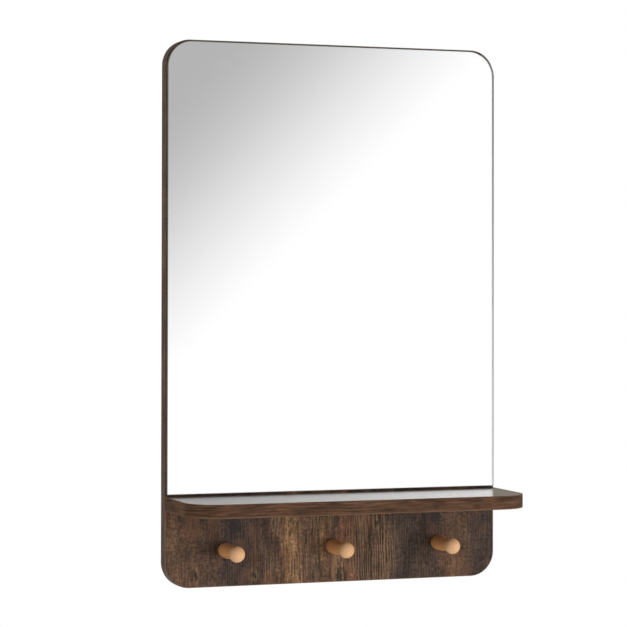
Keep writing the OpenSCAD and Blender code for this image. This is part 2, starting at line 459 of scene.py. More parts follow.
@dataclass(frozen=True)
class RusticDecor(Finish):
    """A matt print of old boards in dark browns, with fibres, figure and cracks.

    Attributes:
        grain: Which way the fibres run.
        boards: The broad tones, in their order across the fibres.
        knots: The knots in the print.
        seed: Shifts the whole pattern.
        contrast: How strongly the fibres show.
        roughness: The finish's mean roughness.
        specular: The finish's specular level.
        relief: How strongly the fibres stand out.
        coat: How strong the clear coat is.
    """

    name: str
    grain: Grain
    boards: tuple[Board, ...]
    knots: tuple[Knot, ...] = ()
    seed: float = 0.0
    contrast: float = 1.0
    roughness: float = 0.45
    specular: float = 0.2
    relief: float = 0.3
    coat: float = 0.0

    def inputs(self, graph: Graph) -> Inputs:
        """Works out what the shader's inputs get.

        Args:
            graph: The material's graph.

        Returns:
            A constant or a node's output for each input.
        """
        axes = graph.object_place()
        across, along = place = [axes[axis] for axis in self.grain.value]
        given = {"Across": across, "Along": along, "Seed": self.seed}
        wood = graph.add("Group", given, node_tree=fibre_group()).outputs
        rough = (self.roughness + 0.07, self.roughness - 0.05)
        return {
            "Base Color": self._colour(graph, place, wood),
            "Roughness": graph.span(wood["Fibre"], 0.2, 0.8, *rough),
            "Normal": graph.bump(wood["Height"], self.relief, 0.2 * MM),
            "Specular IOR Level": self.specular,
            "Coat Weight": self.coat,
            "Coat Roughness": self.roughness,
        }

    def _colour(self, graph: Graph, place: Sequence[Socket], wood: Sequence[Socket]) -> Socket:
        """Builds the decor's colour.

        The boards' tones are taken from light to dark by their fibres and mottle. Then come
        thin veils of other tones over some places, and the knots.

        Args:
            graph: The material's graph.
            place: The places across and along the fibres.
            wood: The outputs of the fibre group.

        Returns:
            The colour.
        """
        first, last = self.boards[0].place, self.boards[-1].place
        sway = graph.times(graph.minus(wood["Hue"], 0.5), 24 * MM)
        board_at = graph.plus(place[0], sway)
        share = graph.add("MapRange", {"Value": board_at, 1: first, 2: last}).outputs[0]
        places = [(board.place - first) / (last - first) for board in self.boards]
        colour = graph.ramp(share, zip(places, [board.tone.value for board in self.boards]))
        halves = [(board.life / 2,) * 3 + (1.0,) for board in self.boards]
        much = self.contrast
        life = graph.times(graph.ramp(share, zip(places, halves)), 2 * much)
        lively = graph.plus(
            graph.span(wood["Streak"], 0.3, 0.7, -0.24, 0.26),
            graph.span(wood["Fibre"], 0.34, 0.66, -0.45, 0.5),
        )
        mottle = graph.times(
            graph.span(wood["Blotch"], 0.3, 0.7, 1 - 0.26 * much, 1 + 0.28 * much),
            graph.span(wood["Grit"], 0.34, 0.66, 1 - 0.4 * much, 1 + 0.4 * much),
        )
        gain = graph.times(graph.plus(graph.times(lively, life), 1.0), mottle)
        colour = graph.mix(1.0, colour, graph.combine(gain, gain, gain), "MULTIPLY")
        veils = (
            (graph.span(wood["Hue"], 0.52, 0.64, 0.0, 0.4), Tone.RUSSET),
            (graph.span(wood["Hue"], 0.48, 0.36, 0.0, 0.25), Tone.MOSS),
            (graph.span(wood["Blotch"], 0.45, 0.3, 0.0, 0.35), Tone.SLATE),
            (graph.times(graph.times(wood["Line"], life), 0.34, clamp=True), Tone.SAND),
            (graph.times(wood["Saw"], 0.3 * much), Tone.SMOKE),
            (graph.times(wood["Pore"], 0.6 * much), Tone.SOOT),
        )
        for veil, tone in veils:
            colour = graph.mix(veil, colour, tone.value)
        for knot in self.knots:
            colour = self._with_knot(graph, colour, place, wood, knot)
        return colour

    @staticmethod
    def _with_knot(
        graph: Graph, colour: Socket, place: Sequence[Socket], wood: Sequence[Socket], knot: Knot
    ) -> Socket:
        """Darkens the colour in one knot, and lightens the fibres that go round it.

        Its ragged edge lies about a radius away from its middle, and the pale fibres lie
        between one and two radii away.

        Args:
            graph: The material's graph.
            colour: The colour so far.
            place: The places across and along the fibres.
            wood: The outputs of the fibre group.
            knot: The knot.

        Returns:
            The colour with the knot in it.
        """
        aside = graph.math("DIVIDE", graph.minus(place[0], knot.across), knot.radius)
        ahead = graph.math("DIVIDE", graph.minus(place[1], knot.along), knot.radius * knot.stretch)
        apart = graph.add("VectorMath", {0: graph.combine(aside, ahead)}, operation="LENGTH")
        ragged = graph.times(graph.minus(graph.plus(wood["Blotch"], wood["Grit"]), 1.0), 1.6)
        far = graph.plus(apart.outputs["Value"], ragged)
        near = graph.times(graph.span(far, 2.3, 1.3), graph.span(wood["Fibre"], 0.4, 0.6))
        colour = graph.mix(graph.times(near, knot.halo), colour, Tone.SAND.value)
        return graph.mix(graph.span(far, 1.3, 0.5, 0.0, 0.8), colour, knot.tone.value)


@dataclass(frozen=True)
class BandFinish(Finish):
    """An edge band with fibres along its length, and lighter where its edges were trimmed.

    Attributes:
        base: Its main tone.
        streak: The tone of its pale streaks.
        seed: Shifts the pattern.
        trim_share: How much lighter its trimmed edges are.
        strip: How wide the paler strip along its first edge is.
        roughness: Its mean roughness.
        specular: Its specular level.
    """

    name: str
    base: Colour
    streak: Colour
    seed: float = 0.0
    trim_share: float = 0.5
    strip: float = 0.0
    roughness: float = 0.45
    specular: float = 0.25

    def inputs(self, graph: Graph) -> Inputs:
        """Works out what the shader's inputs get.

        The fibres take the base tone from light to dark. Then come thin veils of warm places,
        pale lines, pores and the strip, and the trim's tone where the edges are eased.

        Args:
            graph: The material's graph.

        Returns:
            A constant or a node's output for each input.
        """
        along, across, _ = graph.band_place()
        given = {"Across": across, "Along": along, "Seed": self.seed, "Fineness": 0.9}
        wood = graph.add("Group", given, node_tree=fibre_group()).outputs
        gain = graph.times(
            graph.span(wood["Fibre"], 0.3, 0.7, 0.58, 1.46),
            graph.span(wood["Streak"], 0.3, 0.7, 0.84, 1.16),
        )
        colour = graph.mix(1.0, self.base, graph.combine(gain, gain, gain), "MULTIPLY")
        warm = graph.span(wood["Hue"], 0.5, 0.62, 0.0, 0.35)
        colour = graph.mix(warm, colour, Tone.RUSSET.value)
        colour = graph.mix(graph.times(wood["Line"], 0.45), colour, self.streak)
        colour = graph.mix(graph.times(wood["Pore"], 0.5), colour, Tone.SOOT.value)
        if self.strip:
            pale = graph.span(across, self.strip, 0.7 * self.strip, 0.0, 0.35)
            colour = graph.mix(pale, colour, self.streak)
        trim = graph.add("Attribute", attribute_name=SweptBand.TRIM_NAME).outputs["Fac"]
        rough = (self.roughness + 0.08, self.roughness - 0.05)
        return {
            "Base Color": graph.mix(graph.times(trim, self.trim_share), colour, Tone.TRIM.value),
            "Roughness": graph.span(wood["Fibre"], 0.2, 0.8, *rough),
            "Normal": graph.bump(wood["Height"], 0.25, 0.2 * MM),
            "Specular IOR Level": self.specular,
        }


@dataclass(frozen=True)
class TurnedBeech(Finish):
    """Honey-coloured turned beech with its growth rings, fibres and short flecks.

    Attributes:
        light: The colour of the early wood.
        dark: The colour of the late wood.
        stem: The deeper, more orange colour painted on the stem behind the head as painted shade
            and warm bounced light.
        fleck: The colour of the short flecks.
        neck: Where the head meets the stem.
        rings: How many growth rings there are in a metre.
        fibre_scale: How fine the fibres are.
        fleck_scale: How fine the flecks are.
        roughness: The lacquer's mean roughness.
    """

    name: str = "turned_beech"
    light: Colour = linear(235, 190, 145)
    dark: Colour = linear(214, 157, 105)
    stem: Colour = linear(224, 143, 66)
    fleck: Colour = linear(140, 86, 46)
    neck: float = -52 * MM
    rings: float = 520.0
    fibre_scale: float = 2600.0
    fleck_scale: float = 1500.0
    roughness: float = 0.38

    def inputs(self, graph: Graph) -> Inputs:
        """Works out what the shader's inputs get.

        The growth rings are a sawtooth over a slightly tilted height that slow noise bends,
        and the fibres and flecks are noise that is stretched along the peg.

        Args:
            graph: The material's graph.

        Returns:
            A constant or a node's output for each input.
        """
        x, y, z = graph.object_place()
        slow = graph.noise(graph.combine(x, graph.times(y, 0.2), z), 60.0)
        bend = graph.times(graph.minus(slow, 0.5), 4 * MM)
        level = graph.plus(graph.times(x, 0.18), graph.plus(z, bend))
        ring = graph.math("FRACT", graph.times(level, self.rings))
        late = graph.times(graph.span(ring, 0.1, 0.85), graph.span(ring, 1.0, 0.9))
        fibre_at = graph.combine(x, graph.times(y, 0.035), z)
        fibre = graph.noise(fibre_at, self.fibre_scale, 3.0, 0.6)
        fleck_at = graph.combine(x, graph.times(y, 0.22), z)
        fleck = graph.span(graph.noise(fleck_at, self.fleck_scale, 1.0), 0.66, 0.74)
        share = graph.plus(graph.times(late, 0.6), graph.span(slow, 0.3, 0.8, 0.0, 0.3))
        colour = graph.mix(share, self.light, self.dark)
        colour = graph.mix(graph.span(fibre, 0.5, 0.3, 0.0, 0.4), colour, self.dark)
        colour = graph.mix(graph.times(fleck, 0.35), colour, self.fleck)
        # Painted shade: the stem behind the head takes a deeper, more orange colour. It stands in
        # for the stem's shade and for the warm light bounced onto it from the head and the panel.
        painted_stem_shade = graph.span(y, self.neck - 4 * MM, self.neck + 4 * MM, 0.0, 0.5)
        rough = (self.roughness + 0.07, self.roughness - 0.06)
        return {
            "Base Color": graph.mix(painted_stem_shade, colour, self.stem),
            "Roughness": graph.span(fibre, 0.25, 0.75, *rough),
            "Normal": graph.bump(fibre, 0.2, 0.1 * MM),
            "Specular IOR Level": 0.45,
        }


@dataclass(frozen=True)
class Chipboard(Finish):
    """Pressed wood chips: pale flakes of mixed size and tone with dark gaps.

    Attributes:
        scale: How many flakes there are in a metre.
        flakes: The flakes' tones, from the darkest to the palest.
        gap: The colour of the gaps.
    """

    name: str = "pressed_chips"
    scale: float = 420.0
    flakes: tuple[tuple[float, Colour], ...] = (
        (0.0, linear(120, 90, 58)),
        (0.35, linear(168, 132, 92)),
        (0.7, linear(196, 162, 118)),
        (1.0, linear(222, 194, 150)),
    )
    gap: Colour = linear(86, 62, 40)

    def inputs(self, graph: Graph) -> Inputs:
        """Works out what the shader's inputs get.

        Each flake is a cell with a tone of its own, and the gaps lie far from the cells' middles.

        Args:
            graph: The material's graph.

        Returns:
            A constant or a node's output for each input.
        """
        place = graph.add("TexCoord").outputs["Object"]
        flakes = graph.add("TexVoronoi", {"Vector": place, "Scale": self.scale}).outputs
        tone = graph.add("SeparateColor", {0: flakes["Color"]}).outputs[0]
        gap = graph.span(flakes["Distance"], 0.45, 0.8, 0.0, 0.6)
        return {
            "Base Color": graph.mix(gap, graph.ramp(tone, self.flakes), self.gap),
            "Roughness": graph.span(tone, 0.0, 1.0, 0.95, 0.8),
            "Normal": graph.bump(tone, 0.5, 0.3 * MM),
        }


@dataclass(frozen=True)
class PlainFinish(Finish):
    """An even finish with slow and fine unevenness, for metal, film and foam.

    Attributes:
        colour: Its colour.
        shade: A darker colour that it drifts to.
        roughness: Its mean roughness.
        metallic: 1 on metal.
        scale: How fine the slow unevenness is.
        relief: How deep the fine unevenness is.
    """

    name: str
    colour: Colour
    shade: Colour
    roughness: float
    metallic: float = 0.0
    scale: float = 60.0
    relief: float = 0.05 * MM

    def inputs(self, graph: Graph) -> Inputs:
        """Works out what the shader's inputs get.

        Args:
            graph: The material's graph.

        Returns:
            A constant or a node's output for each input.
        """
        x, y, z = graph.object_place()
        given = {"X": x, "Y": y, "Z": z, "Scale": self.scale}
        uneven = graph.add("Group", given, node_tree=unevenness_group()).outputs
        rough = (self.roughness - 0.06, self.roughness + 0.08)
        return {
            "Base Color": graph.mix(
                graph.span(uneven["Slow"], 0.35, 0.7), self.colour, self.shade
            ),
            "Roughness": graph.span(uneven["Fine"], 0.3, 0.7, *rough),
            "Metallic": self.metallic,
            "Normal": graph.bump(uneven["Fine"], 0.3, self.relief),
        }


@dataclass(frozen=True)
class ClearGlass(Finish):
    """Polished float glass.

    Attributes:
        tint: What it lets through.
    """

    name: str = "clear_glass"
    tint: Colour = WHITE

    def inputs(self, graph: Graph) -> Inputs:
        """Works out what the shader's inputs get, and returns it."""
        return {"Base Color": self.tint, "Roughness": 0.0, "IOR": 1.52, "Transmission Weight": 1.0}


@dataclass(frozen=True)
class SilverCoat(Finish):
    """The silver behind the glass.

    Attributes:
        colour: Its reflectance.
    """

    name: str = "silver_coat"
    colour: Colour = (0.98, 0.98, 0.98, 1.0)

    def inputs(self, graph: Graph) -> Inputs:
        """Works out what the shader's inputs get, and returns it."""
        return {"Base Color": self.colour, "Roughness": 0.0, "Metallic": 1.0}


@dataclass(frozen=True)
class GroundRim(Finish):
    """The glass pane's ground rim, from a tone at its top to one at its foot; a paler foot tone is
    painted light.

    Attributes:
        top_tone: Its tone at its top.
        painted_lit_foot_tone: Its tone at its foot. Where it is paler than the top tone, it paints
            light onto the rim's lower part.
        clear: How much light it lets through.
        top: The height from which it has its top tone.
        foot: The height down to which it takes on its foot tone.
    """

    name: str
    top_tone: Colour
    painted_lit_foot_tone: Colour
    clear: float = 0.0
    top: float = 270 * MM
    foot: float = -220 * MM

    def inputs(self, graph: Graph) -> Inputs:
        """Works out what the shader's inputs get.

        Args:
            graph: The material's graph.

        Returns:
            A constant or a node's output for each input.
        """
        x, y, z = graph.object_place()
        given = {"X": x, "Y": y, "Z": z, "Scale": 90.0}
        fine = graph.add("Group", given, node_tree=unevenness_group()).outputs["Fine"]
        # Painted light: the tone runs from the top tone down to the foot tone, so a paler foot
        # tone paints the lower rim lighter.
        low = graph.span(z, self.top, self.foot)
        return {
            "Base Color": graph.mix(low, self.top_tone, self.painted_lit_foot_tone),
            "Roughness": graph.span(fine, 0.3, 0.7, 0.55, 0.7),
            "Transmission Weight": self.clear,
            "Normal": graph.bump(fine, 0.3, 0.05 * MM),
        }


# ---------- meshes ----------


@dataclass
class Outline:
    """A rounded outline as points, its outward directions and the way along it.

    Attributes:
        points: The points, one row each.
        outward: The direction out of the outline at each point.
        closed: True if the last point joins the first.
    """

    points: Array
    outward: Array
    closed: bool = True

    @property
    def way(self) -> Array:
        """The length along the outline up to each point."""
        steps = np.linalg.norm(np.diff(self.points, axis=0), axis=1)
        return np.concatenate([[0.0], np.cumsum(steps)])


def round_corners(
    low: Sequence[float],
    high: Sequence[float],
    radii: Sequence[float],
    steps: int = 24,
    corners: Sequence[int] = (0, 1, 2, 3),
) -> Outline:
    """Walks a rectangle's round corners, which count anticlockwise from its lower right one.

    Each corner is a quarter circle: its centre plus its radius times the outward direction.

    Args:
        low: The rectangle's lowest place.
        high: The rectangle's highest place.
        radii: The radius of each corner that is walked.
        steps: The number of steps in each corner.
        corners: The corners that are walked.

    Returns:
        The outline.
    """
    points, outward = [], []
    for number, radius in zip(corners, radii):
        turn = math.pi / 2 * (number - 1 + np.linspace(0, 1, steps + 1))
        direction = np.stack([np.cos(turn), np.sin(turn)], axis=1)
        x = high[0] - radius if number in (0, 1) else low[0] + radius
        y = low[1] + radius if number in (0, 3) else high[1] - radius
        points.append([x, y] + radius * direction)
        outward.append(direction)
    return Outline(np.concatenate(points), np.concatenate(outward))


def grid_faces(rows: int, columns: int, rows_closed: bool, columns_closed: bool) -> Array:
    """Lists the four-sided faces of a grid of points, counted row by row.

    Args:
        rows: The number of rows.
        columns: The number of columns.
        rows_closed: True if the last row joins the first.
        columns_closed: True if the last column joins the first.

    Returns:
        One row of four point numbers for each face.
    """
    i, j = np.meshgrid(
        np.arange(rows if rows_closed else rows - 1),
        np.arange(columns if columns_closed else columns - 1),
        indexing="ij",
    )
    i, j = i.ravel(), j.ravel()
    i2, j2 = (i + 1) % rows, (j + 1) % columns
    return np.stack([i * columns + j, i2 * columns + j, i2 * columns + j2, i * columns + j2], 1)


def make_piece(
    name: str, points: Array, faces: Sequence[Sequence[int]], sharp: float = 30.0
) -> Piece:
    """Makes a mesh from points and outward faces, smooth but for its sharp edges.

    Args:
        name: The piece's name.
        points: Its points, one row each.
        faces: The point numbers of each face.
        sharp: The angle in degrees past which an edge is sharp.

    Returns:
        The piece, at the origin.
    """
    mesh = bpy.data.meshes.new(name)
    mesh.from_pydata(points.tolist(), [], [list(map(int, face)) for face in faces])
    mesh.validate()
    mesh.shade_smooth()
    mesh.set_sharp_from_angle(angle=math.radians(sharp))
    piece = bpy.data.objects.new(name, mesh)
    bpy.context.scene.collection.objects.link(piece)
    return piece


def finish_piece(piece: Piece, finish: Finish, node: str) -> None:
    """Gives a new piece its finish and its place in the model.

    Args:
        piece: The piece.
        finish: Its finish.
        node: The node that it stands for.
    """
    piece.data.materials.append(finish.make())
    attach(piece, BODY)
    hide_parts(node)
    LOG.info("%s stands for %s, %d faces", piece.name, node, len(piece.data.polygons))


def dress(finish: Finish, *nodes: str) -> None:
    """Gives carried-over nodes their finish.

    Args:
        finish: The finish.
        nodes: The nodes' names.
    """
    for node in nodes:
        piece = frame["nodes"][node]
        piece.data.materials.clear()
        piece.data.materials.append(finish.make())
        LOG.info("%s wears %s", node, finish.name)


def carry(outline: Outline, section: Array) -> Array:
    """Carries a section along an outline: each point plus its outward direction times the offset.

    Args:
        outline: The outline.
        section: The section, as rows of an offset outwards and a depth.

    Returns:
        The two places in the outline's plane and the depth, as three grids with a row for
        each point of the outline.
    """
    flat = outline.points[:, None, :] + outline.outward[:, None, :] * section[None, :, :1]
    return np.stack([*np.moveaxis(flat, 2, 0), np.broadcast_to(section[:, 1], flat.shape[:2])])


def nodes_named(start: str) -> list[Piece]:
    """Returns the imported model's nodes whose names start with these letters."""
    return [piece for name, piece in frame["nodes"].items() if name.startswith(start)]


def keep_out_of_mirror(pieces: Iterable[Piece]) -> None:
    """Keeps pieces out of reflections, as the photograph's mirror shows none of them."""
    for piece in pieces:
        piece.visible_transmission = False


@dataclass
class SweptBand:
    """An edge band: an outline that carries a thin section with two eased outer edges.

    Attributes:
        name: The piece's name.
        outline: The outer outline.
        thickness: The band's thickness.
        start: The depth of the section's first edge.
        width: The band's width.
        ease: The radius of its two outer edges.
        ease_steps: The number of steps round each.
    """

    UV_NAME = "band"
    TRIM_NAME = "trim"

    name: str
    outline: Outline
    thickness: float
    start: float
    width: float
    ease: float = 0.5 * MM
    ease_steps: int = 5

    def section(self) -> tuple[Array, Array]:
        """Works out the section as (outward, depth) points, and which of them are trimmed.

        The outer edges are quarter circles, and the section closes on its inner side.

        Returns:
            The points and, for each, 1 where the edge is eased and 0 elsewhere.
        """
        turn = np.linspace(0, math.pi / 2, self.ease_steps + 1)
        rise = self.ease * np.stack([np.cos(turn) - 1, np.sin(turn) - 1], axis=1)
        far = rise + [0.0, self.width]
        near = np.stack([rise[:, 0], -rise[:, 1]], axis=1)[::-1]
        inner = np.array([[-self.thickness, self.width], [-self.thickness, 0.0]])
        points = np.concatenate([near, far, inner])
        trimmed = np.concatenate([np.ones(len(near)), np.ones(len(far)), [1.0, 1.0]])
        trimmed[len(near) - 1] = 0.0
        trimmed[len(near)] = 0.0
        return points, trimmed

    def build(self, upright: bool) -> Piece:
        """Sweeps the section: each outline point plus its outward direction times the offset.

        Args:
            upright: True on the panel, where the outline lies in X and Z and the depth runs
                from the wall, and False on the shelf, where it lies in X and Y and the depth
                runs upwards.

        Returns:
            The piece.
        """
        section, trimmed = self.section()
        x, other, depth = carry(self.outline, section + [0.0, self.start])
        layers = (x, -depth, other) if upright else (x, other, depth)
        points = np.stack(layers, axis=-1).reshape(-1, 3)
        rows, columns = depth.shape
        faces = grid_faces(rows, columns, self.outline.closed, True)
        caps = []
        if not self.outline.closed:
            last = (rows - 1) * columns
            caps = [list(range(columns)), list(range(last + columns - 1, last - 1, -1))]
        if upright:
            faces = faces[:, ::-1]
            caps = [cap[::-1] for cap in caps]
        piece = make_piece(self.name, points, [*faces.tolist(), *caps])
        self._mark(piece, section, trimmed, faces, caps)
        return piece

    def _mark(
        self,
        piece: Piece,
        section: Array,
        trimmed: Array,
        faces: Array,
        caps: Sequence[Sequence[int]],
    ) -> None:
        """Stores the way along and across the band, and where it is trimmed.

        The ways are the lengths of the outline and of the section up to each point, and where
        the last row joins the first, the way along goes on past the outline's whole length.

        Args:
            piece: The swept piece.
            section: The section's points.
            trimmed: The section's trimmed points.
            faces: The point numbers of its sides.
            caps: The point numbers of its two ends, where it has them.
        """
        mesh, way, columns = piece.data, self.outline.way, len(section)
        row, column = np.divmod(faces, columns)
        joins = self.outline.closed & (row == 0) & (row.max(1, keepdims=True) == len(way) - 1)
        gap = np.linalg.norm(self.outline.points[-1] - self.outline.points[0])
        along = np.where(joins, way[-1] + gap, way[row]).ravel()
        end_row, end_column = np.divmod(np.array(caps, dtype=int).ravel(), columns)
        along = np.concatenate([along, way[end_row]])
        steps = np.linalg.norm(np.diff(section, axis=0), axis=1)
        across = np.concatenate([[0.0], np.cumsum(steps)])
        across = across[np.concatenate([column.ravel(), end_column])]
        uv = mesh.uv_layers.new(name=self.UV_NAME)
        uv.data.foreach_set("uv", np.stack([along, across], axis=1).ravel().astype(np.float32))
        trim = mesh.attributes.new(self.TRIM_NAME, "FLOAT", "POINT")
        values = np.tile(trimmed, len(mesh.vertices) // columns)
        trim.data.foreach_set("value", values.astype(np.float32))


# ---------- sub-assemblies ----------


@dataclass
class Panel:
    """The back panel: chipboard between two facings, with a band round its edge.

    Attributes:
        corner_radius: The radius of its corners.
        band_thickness: The thickness of its edge band.
        boards: The broad tones of the decor at its front, from left to right.
        knots: The knots of that decor, and two bluish dark patches just above the left and right
            pegs.
        rear_boards: The broad tones of the decor at its back.
    """

    corner_radius: float = 28 * MM
    band_thickness: float = 0.8 * MM
    boards: tuple[Board, ...] = (
        Board(-0.197, Tone.UMBER, 0.35),
        Board(-0.168, Tone.UMBER, 0.35),
        Board(-0.148, Tone.SMOKE, 0.3),
        Board(-0.136, Tone.SMOKE, 0.4),
        Board(-0.126, Tone.SLATE, 0.5),
        Board(-0.113, Tone.SLATE, 0.5),
        Board(-0.103, Tone.SLATE, 0.4),
        Board(-0.087, Tone.PEAT, 0.5),
        Board(-0.078, Tone.SMOKE, 0.8),
        Board(-0.067, Tone.SMOKE, 1.1),
        Board(-0.054, Tone.CLAY, 1.4),
        Board(-0.045, Tone.CLAY, 1.4),
        Board(-0.036, Tone.UMBER, 1.2),
        Board(-0.026, Tone.SMOKE, 1.1),
        Board(-0.01, Tone.CLAY, 1.0),
        Board(0.001, Tone.PEAT, 1.0),
        Board(0.013, Tone.RUSSET, 1.0),
        Board(0.023, Tone.RUSSET, 1.0),
        Board(0.032, Tone.PEAT, 1.2),
        Board(0.041, Tone.UMBER, 1.3),
        Board(0.05, Tone.SMOKE, 1.3),
        Board(0.059, Tone.UMBER, 1.4),
        Board(0.071, Tone.PEAT, 1.2),
        Board(0.091, Tone.SLATE, 0.3),
        Board(0.108, Tone.PEAT, 0.3),
        Board(0.125, Tone.SLATE, 0.25),
        Board(0.139, Tone.UMBER, 0.5),
        Board(0.154, Tone.UMBER, 0.5),
        Board(0.168, Tone.PEAT, 0.25),
        Board(0.182, Tone.SLATE, 0.25),
        Board(0.197, Tone.SLATE, 0.25),
    )
    knots: tuple[Knot, ...] = (
        Knot(-0.159, -0.287, 1.6 * MM, 3.5),
        Knot(-0.093, -0.288, 3.5 * MM, 1.2),
        Knot(0.007, -0.291, 5 * MM, 2.8),
        Knot(0.052, -0.236, 3.5 * MM, 1.3),
        Knot(-0.059, 0.12, 9 * MM),
        # Two bluish dark patches with no pale fibres round them, just above the left and right
        # pegs.
        Knot(-0.117, -0.233, 8 * MM, 1.6, Tone.INK, 0.0),
        Knot(0.123, -0.229, 7 * MM, 1.8, Tone.INK, 0.0),
    )
    rear_boards: tuple[Board, ...] = (
        Board(-0.2, Tone.SMOKE),
        Board(-0.05, Tone.UMBER),
        Board(0.08, Tone.SMOKE),
        Board(0.2, Tone.UMBER),
    )

    def build(self) -> None:
        """Builds the band and dresses the board."""
        low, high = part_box("panel_edge_band")
        band = SweptBand(
            "panel_band",
            round_corners(low.xz, high.xz, [self.corner_radius] * 4),
            self.band_thickness,
            start=-high.y,
            width=high.y - low.y,
        ).build(upright=True)
        finish = BandFinish("panel_band_print", linear(74, 63, 59), Tone.SAND.value, seed=3.0)
        finish_piece(band, finish, "panel_edge_band")
        front = RusticDecor(
            "panel_decor_print", Grain.UPRIGHT, self.boards, self.knots, seed=1.7
        )
        dress(front, "panel_front_facing")
        rear = RusticDecor(
            "rear_decor_print",
            Grain.UPRIGHT,
            self.rear_boards,
            seed=8.3,
            contrast=0.7,
            roughness=0.5,
        )
        dress(rear, "panel_rear_facing")
        dress(Chipboard(), "panel_core")


@dataclass
class Mirror:
    """The mirror: a glass pane with its silver, its safety film and its tape.

    Attributes:
        corner_radius: The radius of its top corners.
        foot_radius: The radius of its bottom corners.
        arris: The width of the ground arris round its two faces.
        gap: The gap between the pane and the silver, which keeps their faces apart.
        corner_steps: The number of steps in each corner.
        rim: The finish of its rim.
        clear_rim_with_painted_light: The finish of its rim's right side and foot. Light passes
            through it, and it is painted lighter towards its foot as painted light.
    """

    corner_radius: float = 29 * MM
    foot_radius: float = 0.6 * MM
    arris: float = 0.4 * MM
    gap: float = 0.03 * MM
    corner_steps: int = 32
    rim: GroundRim = GroundRim("ground_rim", linear(98, 100, 94), linear(98, 100, 94))
    # The clear rim runs from grey at the top to near white low down. This is painted light from
    # the lower right, added to the light that really passes through it.
    clear_rim_with_painted_light: GroundRim = GroundRim(
        "clear_rim_with_painted_light", linear(100, 102, 100), linear(248, 250, 249), clear=0.75
    )

    def build(self) -> None:
        """Builds the pane and dresses what is behind it."""
        pane = self._pane()
        finish_piece(pane, ClearGlass(), "mirror_glass")
        for rim in (self.rim, self.clear_rim_with_painted_light):
            pane.data.materials.append(rim.make())
        dress(SilverCoat(), "mirror_silvering")
        grey, deep_grey = linear(142, 148, 152), linear(126, 132, 137)
        dress(PlainFinish("grey_film", grey, deep_grey, 0.5, scale=30.0), "mirror_safety_film")
        white, cream = linear(240, 238, 230), linear(222, 219, 208)
        dress(PlainFinish("white_foam", white, cream, 0.85, scale=200.0), "mirror_tape_strips")

    def _pane(self) -> Piece:
        """Carries the pane's edge section round its outline and closes both its faces.

        Returns:
            The pane.
        """
        low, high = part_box("mirror_glass")
        radii = (self.foot_radius, self.corner_radius, self.corner_radius, self.foot_radius)
        outline = round_corners(low.xz, high.xz, radii, self.corner_steps)
        front, back = low.y, high.y - self.gap
        rise = self.arris
        section = [[-rise, front], [0.0, front + rise], [0.0, back - rise], [-rise, back]]
        x, z, y = carry(outline, np.array(section))
        points = np.stack([x, y, z], axis=-1).reshape(-1, 3)
        rows, columns = y.shape
        edge = grid_faces(rows, columns, True, False).tolist()
        ring = np.arange(rows) * columns
        faces = [*edge, ring.tolist(), (ring + columns - 1)[::-1].tolist()]
        pane = make_piece("mirror_pane", points, faces, sharp=25.0)
        # The rim's right side and foot take the clear finish with its painted light.
        rim_slot, clear_painted_light_slot = 1, 2
        for face in pane.data.polygons[: len(edge)]:
            right = face.center.x > high.x - self.corner_radius / 2
            foot = face.center.z < low.z + self.foot_radius / 2
            face.material_index = clear_painted_light_slot if right or foot else rim_slot
        return pane


@dataclass
class Shelf:
    """The shelf: a board with facings, a band round its ends and front, and its fasteners.

    Attributes:
        corner_radius: The radius of its front corners.
        corner_steps: The number of steps in each.
        band_thickness: The thickness of its band.
        boards: The broad tones of its decor, from its front to its back.
    """

    corner_radius: float = 36 * MM
    corner_steps: int = 28
    band_thickness: float = 0.8 * MM
    boards: tuple[Board, ...] = (
        Board(-0.125, Tone.UMBER),
        Board(-0.1, Tone.CLAY),
        Board(-0.07, Tone.UMBER),
        Board(-0.045, Tone.SMOKE),
        Board(-0.01, Tone.UMBER),
    )

    def build(self) -> None:
        """Builds the band, open at the panel, and dresses the board and its dowels."""
        low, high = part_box("shelf_edge_band")
        front = round_corners(
            low.xy, high.xy, [self.corner_radius] * 2, self.corner_steps, corners=(3, 0)
        )
        ends = [[[low.x, high.y]], [[high.x, high.y]]]
        points = np.concatenate([ends[0], front.points, ends[1]])
        outward = np.concatenate([[[-1, 0]], front.outward, [[1, 0]]])
        band = SweptBand(
            "shelf_band",
            Outline(points, outward, closed=False),
            self.band_thickness,
            start=low.z,
            width=high.z - low.z,
        ).build(upright=False)
        finish = BandFinish(
            "shelf_band_print",
            linear(78, 55, 41),
            linear(120, 91, 70),
            seed=5.0,
            strip=2.2 * MM,
            specular=0.1,
        )
        finish_piece(band, finish, "shelf_edge_band")
        decor = RusticDecor(
            "shelf_decor_print",
            Grain.ALONG_SHELF,
            self.boards,
            seed=4.1,
            contrast=0.8,
            roughness=0.16,
            specular=0.5,
            relief=0.02,
            coat=0.85,
        )
        dress(decor, "shelf_top_facing", "shelf_bottom_facing")
        dress(Chipboard(), "shelf_core")
        pale, brown = linear(214, 180, 132), linear(196, 160, 112)
        dress(PlainFinish("dowel_beech", pale, brown, 0.7, scale=300.0), "shelf_dowels")
        keep_out_of_mirror([band, *nodes_named("shelf_")])


